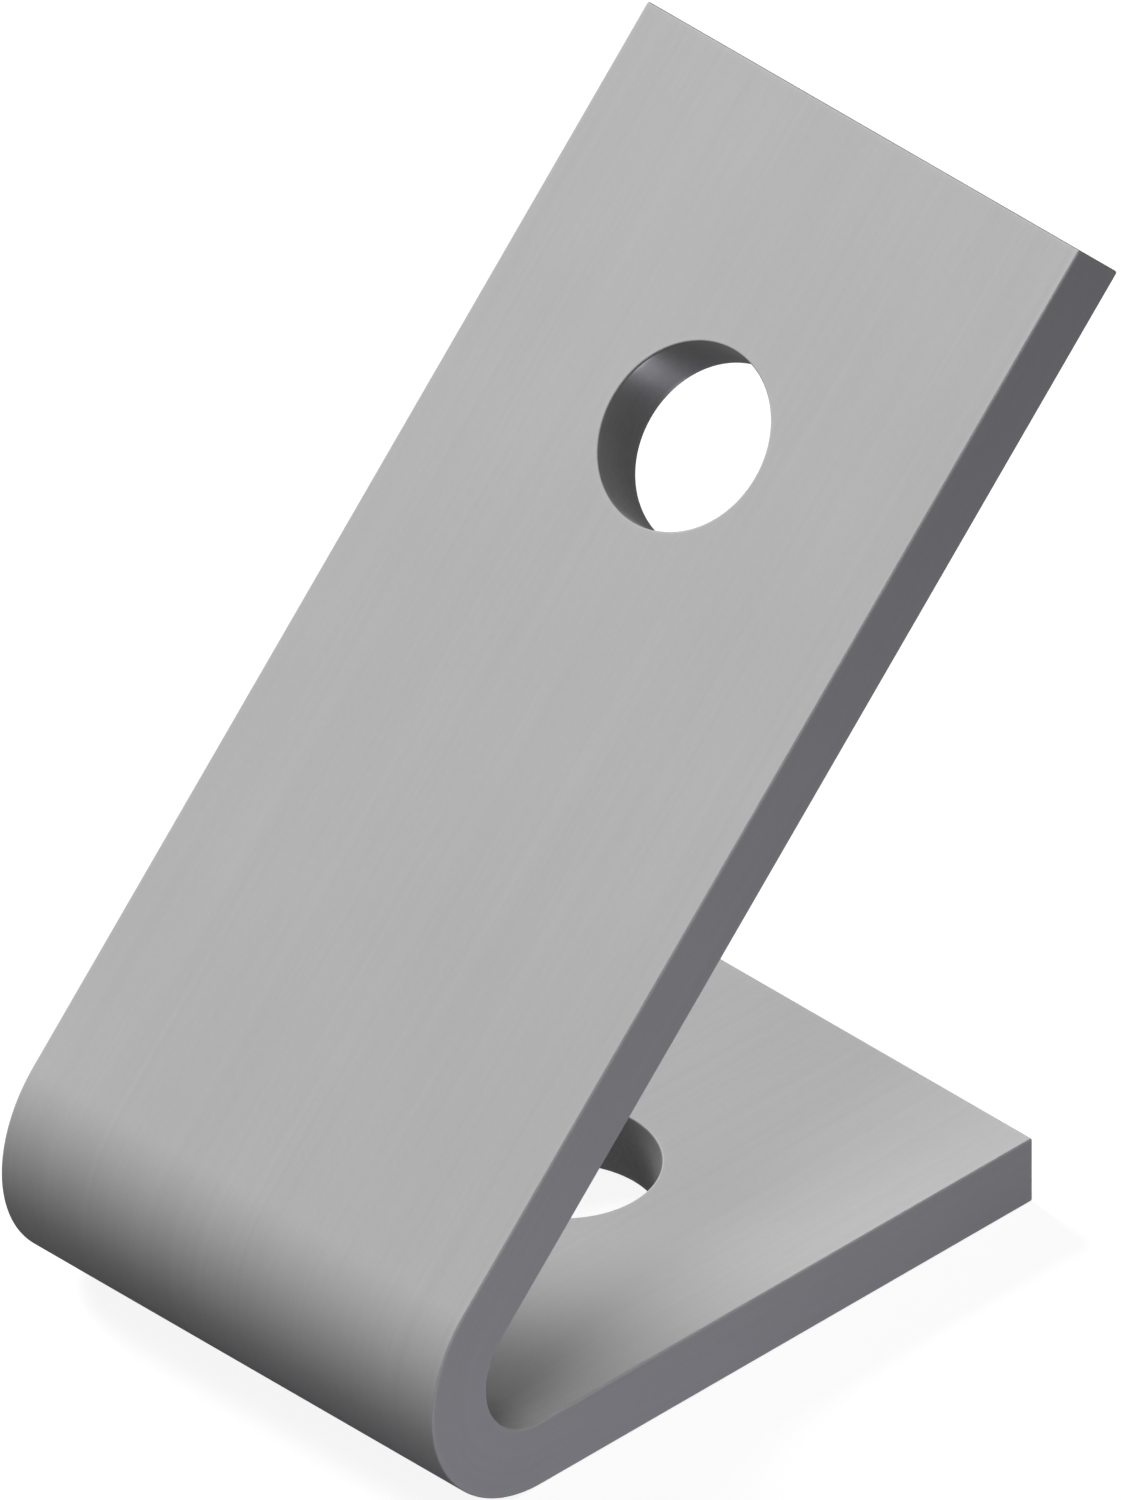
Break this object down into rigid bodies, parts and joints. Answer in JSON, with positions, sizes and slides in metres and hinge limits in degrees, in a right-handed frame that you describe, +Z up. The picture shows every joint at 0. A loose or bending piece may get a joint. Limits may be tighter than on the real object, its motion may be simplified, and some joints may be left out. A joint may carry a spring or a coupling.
{
  "type": "splice angle bracket",
  "caption": "Flat steel bar folded back to an acute angle, with a bolt hole in each leg, for joining channels or plates at that angle.",
  "frame": {"origin": "centre of the short leg's bolt hole, on the outer face of that leg, which is the underside", "axes": "+Z up through the short leg's hole from its outer face, +Y along the short leg from the bend to its end, +X across the width of the bar"},
  "size_m": [0.04, 0.0633, 0.0739],
  "materials": {
    "steel": "satin, plain mill surface with a thin zinc coat"
  },
  "bodies": {
    "root": {"angle_bracket": "steel"}
  },
  "joints": []
}
